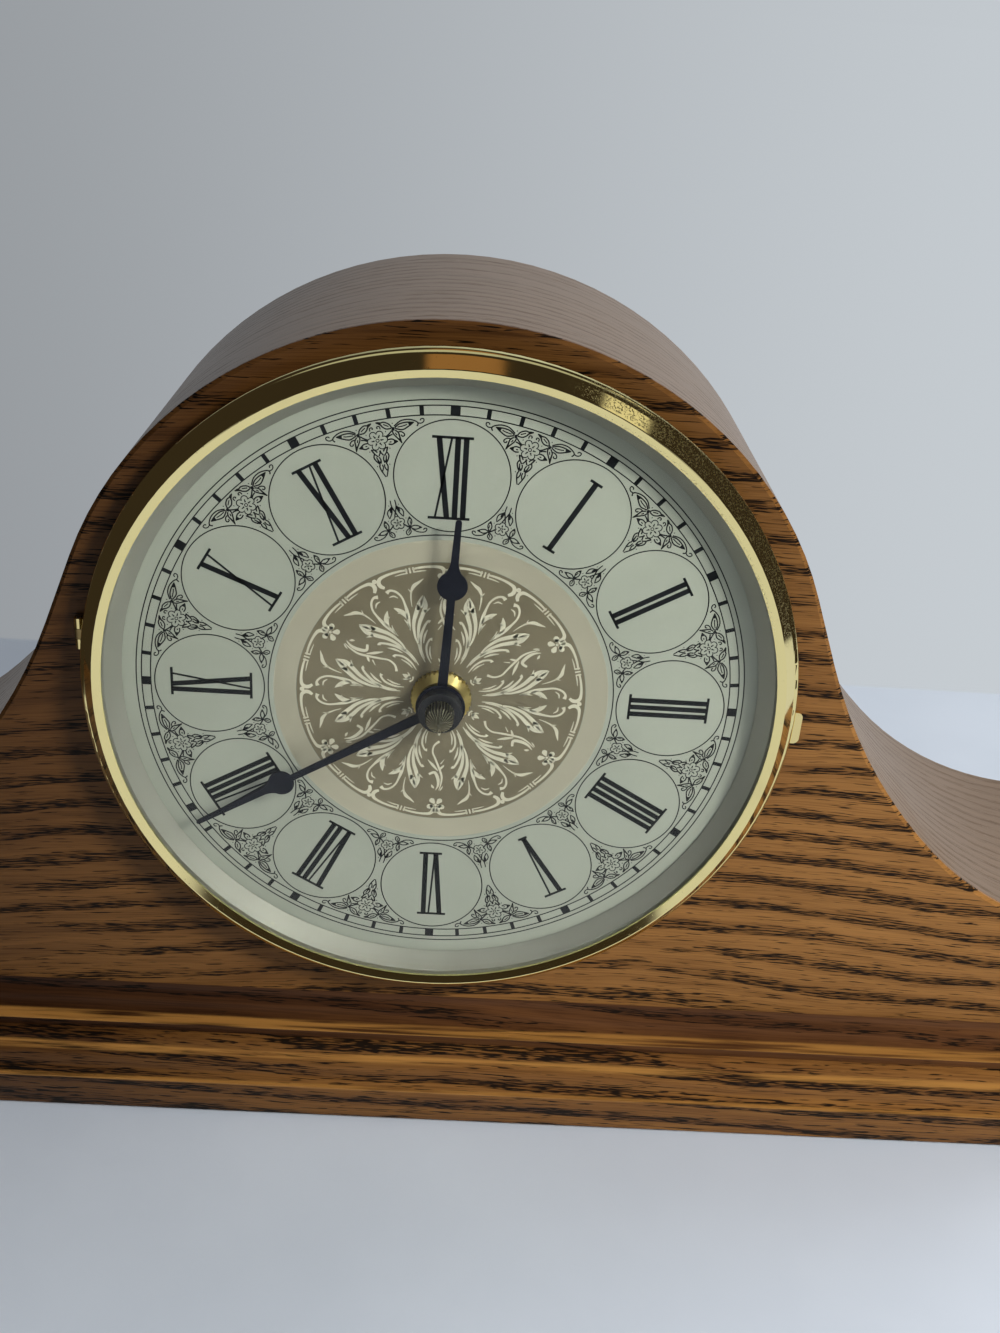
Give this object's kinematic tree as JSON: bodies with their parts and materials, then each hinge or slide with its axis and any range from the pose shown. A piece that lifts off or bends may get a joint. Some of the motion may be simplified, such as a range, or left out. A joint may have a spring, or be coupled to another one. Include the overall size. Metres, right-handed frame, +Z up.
{
  "type": "mantel clock",
  "caption": "Humpbacked oak mantel clock with a hinged domed-glass brass bezel, printed dial with spade hands, battery movement and a rear door.",
  "frame": {"origin": "on the table, under the middle of the base", "axes": "+X to the viewer's right along the base, +Y from the dial to the back of the case, +Z up"},
  "size_m": [0.4, 0.0896, 0.1864],
  "materials": {
    "oak_front": "stained oak, satin lacquer",
    "oak_skin": "stained bent oak, satin lacquer",
    "oak_base": "stained oak moulding, satin lacquer",
    "oak_rear": "stained oak, plain",
    "pine": "bare pine",
    "felt": "dark green felt",
    "brass": "lacquered brass",
    "steel": "plain steel",
    "zinc_screw": "zinc plated",
    "dial_metal": "printed dial plate",
    "glass": "clear convex glass",
    "reflector": "satin brass",
    "hand_black": "black enamel",
    "rubber": "black rubber",
    "movement_plastic": "black moulded plastic",
    "plate_plastic": "dark grey moulded plastic",
    "gear_plastic": "white acetal",
    "magnet": "sintered magnet",
    "copper": "enamelled copper wire",
    "board": "green circuit board",
    "cell": "plain printed jacket"
  },
  "bodies": {
    "case": {"front_board": "oak_front", "rear_board": "oak_rear", "top_skin": "oak_skin", "base_board": "oak_base", "cove_front": "oak_base", "cove_left": "oak_base", "cove_right": "oak_base", "glue_blocks": "pine", "base_screws": "zinc_screw", "felt_pads": "felt", "rear_hinge_case_leaves": "brass", "rear_hinge_pins": "steel", "rear_hinge_case_screws": "brass", "turn_button_screw": "brass", "mounting_ring": "brass", "dial_plate": "dial_metal", "dial_screws": "brass", "bezel_hinge_pin": "steel", "mounting_nut": "brass", "mounting_washer": "steel", "rubber_gasket": "rubber", "threaded_bushing": "brass", "movement_front_case": "plate_plastic", "movement_rear_case": "movement_plastic", "gear_bridge": "plate_plastic", "stator": "steel", "coil_core": "steel", "coil_bobbin": "gear_plastic", "coil_winding": "copper", "circuit_board": "board", "quartz_crystal": "steel", "battery": "cell", "positive_contact": "steel", "negative_contact": "steel"},
    "bezel_door": {"bezel_ring": "brass", "bezel_glass": "glass", "reflector_ring": "reflector", "bezel_knuckle": "brass", "bezel_thumb_tab": "brass"},
    "minute_set": {"minute_arbor": "steel", "minute_hand": "hand_black", "hand_cap_nut": "hand_black", "clutch_washer": "steel"},
    "hour_set": {"hour_wheel": "gear_plastic", "hour_hand": "hand_black"},
    "minute_wheel_set": {"minute_wheel": "gear_plastic"},
    "setting_set": {"setting_knob": "gear_plastic"},
    "centre_set": {"centre_wheel": "gear_plastic"},
    "third_set": {"third_wheel": "gear_plastic"},
    "seconds_set": {"seconds_wheel": "gear_plastic"},
    "step_set": {"step_wheel": "gear_plastic"},
    "rotor_set": {"rotor": "magnet"},
    "door": {"rear_door": "oak_rear", "rear_hinge_door_leaves": "brass", "rear_hinge_door_screws": "brass", "rear_door_knob": "brass"},
    "button": {"turn_button": "brass"}
  },
  "joints": [
    {"name": "bezel_hinge", "type": "hinge", "parent": "case", "child": "bezel_door", "pos_m": [-0.0754, -0.02835, 0.1178], "axis": [0, 0, -1], "range_deg": [0, 100]},
    {"name": "minute_turn", "type": "hinge", "parent": "case", "child": "minute_set", "pos_m": [0, -0.0285, 0.1076], "axis": [0, 1, 0], "continuous": true},
    {"name": "hour_turn", "type": "hinge", "parent": "case", "child": "hour_set", "pos_m": [0, -0.0285, 0.1076], "axis": [0, 1, 0], "continuous": true},
    {"name": "minute_wheel_turn", "type": "hinge", "parent": "case", "child": "minute_wheel_set", "pos_m": [-0.00812, -0.0285, 0.11056], "axis": [0, 1, 0], "continuous": true},
    {"name": "setting_turn", "type": "hinge", "parent": "case", "child": "setting_set", "pos_m": [-0.01676, -0.0285, 0.11056], "axis": [0, 1, 0], "continuous": true},
    {"name": "seconds_turn", "type": "hinge", "parent": "case", "child": "seconds_set", "pos_m": [0.00689, -0.0285, 0.12019], "axis": [0, 1, 0], "continuous": true},
    {"name": "centre_turn", "type": "hinge", "parent": "case", "child": "centre_set", "pos_m": [0, -0.0285, 0.1076], "axis": [0, 1, 0], "continuous": true},
    {"name": "third_turn", "type": "hinge", "parent": "case", "child": "third_set", "pos_m": [0.00689, -0.0285, 0.11339], "axis": [0, 1, 0], "continuous": true},
    {"name": "step_turn", "type": "hinge", "parent": "case", "child": "step_set", "pos_m": [0.00059, -0.0285, 0.12019], "axis": [0, 1, 0], "continuous": true},
    {"name": "rotor_turn", "type": "hinge", "parent": "case", "child": "rotor_set", "pos_m": [-0.00481, -0.0285, 0.12019], "axis": [0, 1, 0], "continuous": true},
    {"name": "rear_door_hinge", "type": "hinge", "parent": "case", "child": "door", "pos_m": [0.0582, 0.0403, 0.0966], "axis": [0, 0, -1], "range_deg": [0, 110]},
    {"name": "turn_button_swing", "type": "hinge", "parent": "case", "child": "button", "pos_m": [-0.062, 0.0387, 0.0966], "axis": [0, 1, 0], "range_deg": [0, 90]}
  ],
  "couplings": [
    {"joint": "hour_turn", "follows": "minute_turn", "ratio": 0.083333},
    {"joint": "minute_wheel_turn", "follows": "minute_turn", "ratio": -0.33333},
    {"joint": "setting_turn", "follows": "minute_turn", "ratio": 1},
    {"joint": "step_turn", "follows": "rotor_turn", "ratio": -0.2},
    {"joint": "seconds_turn", "follows": "rotor_turn", "ratio": 0.033333},
    {"joint": "third_turn", "follows": "rotor_turn", "ratio": -0.0044444},
    {"joint": "centre_turn", "follows": "rotor_turn", "ratio": 0.00055556}
  ]
}
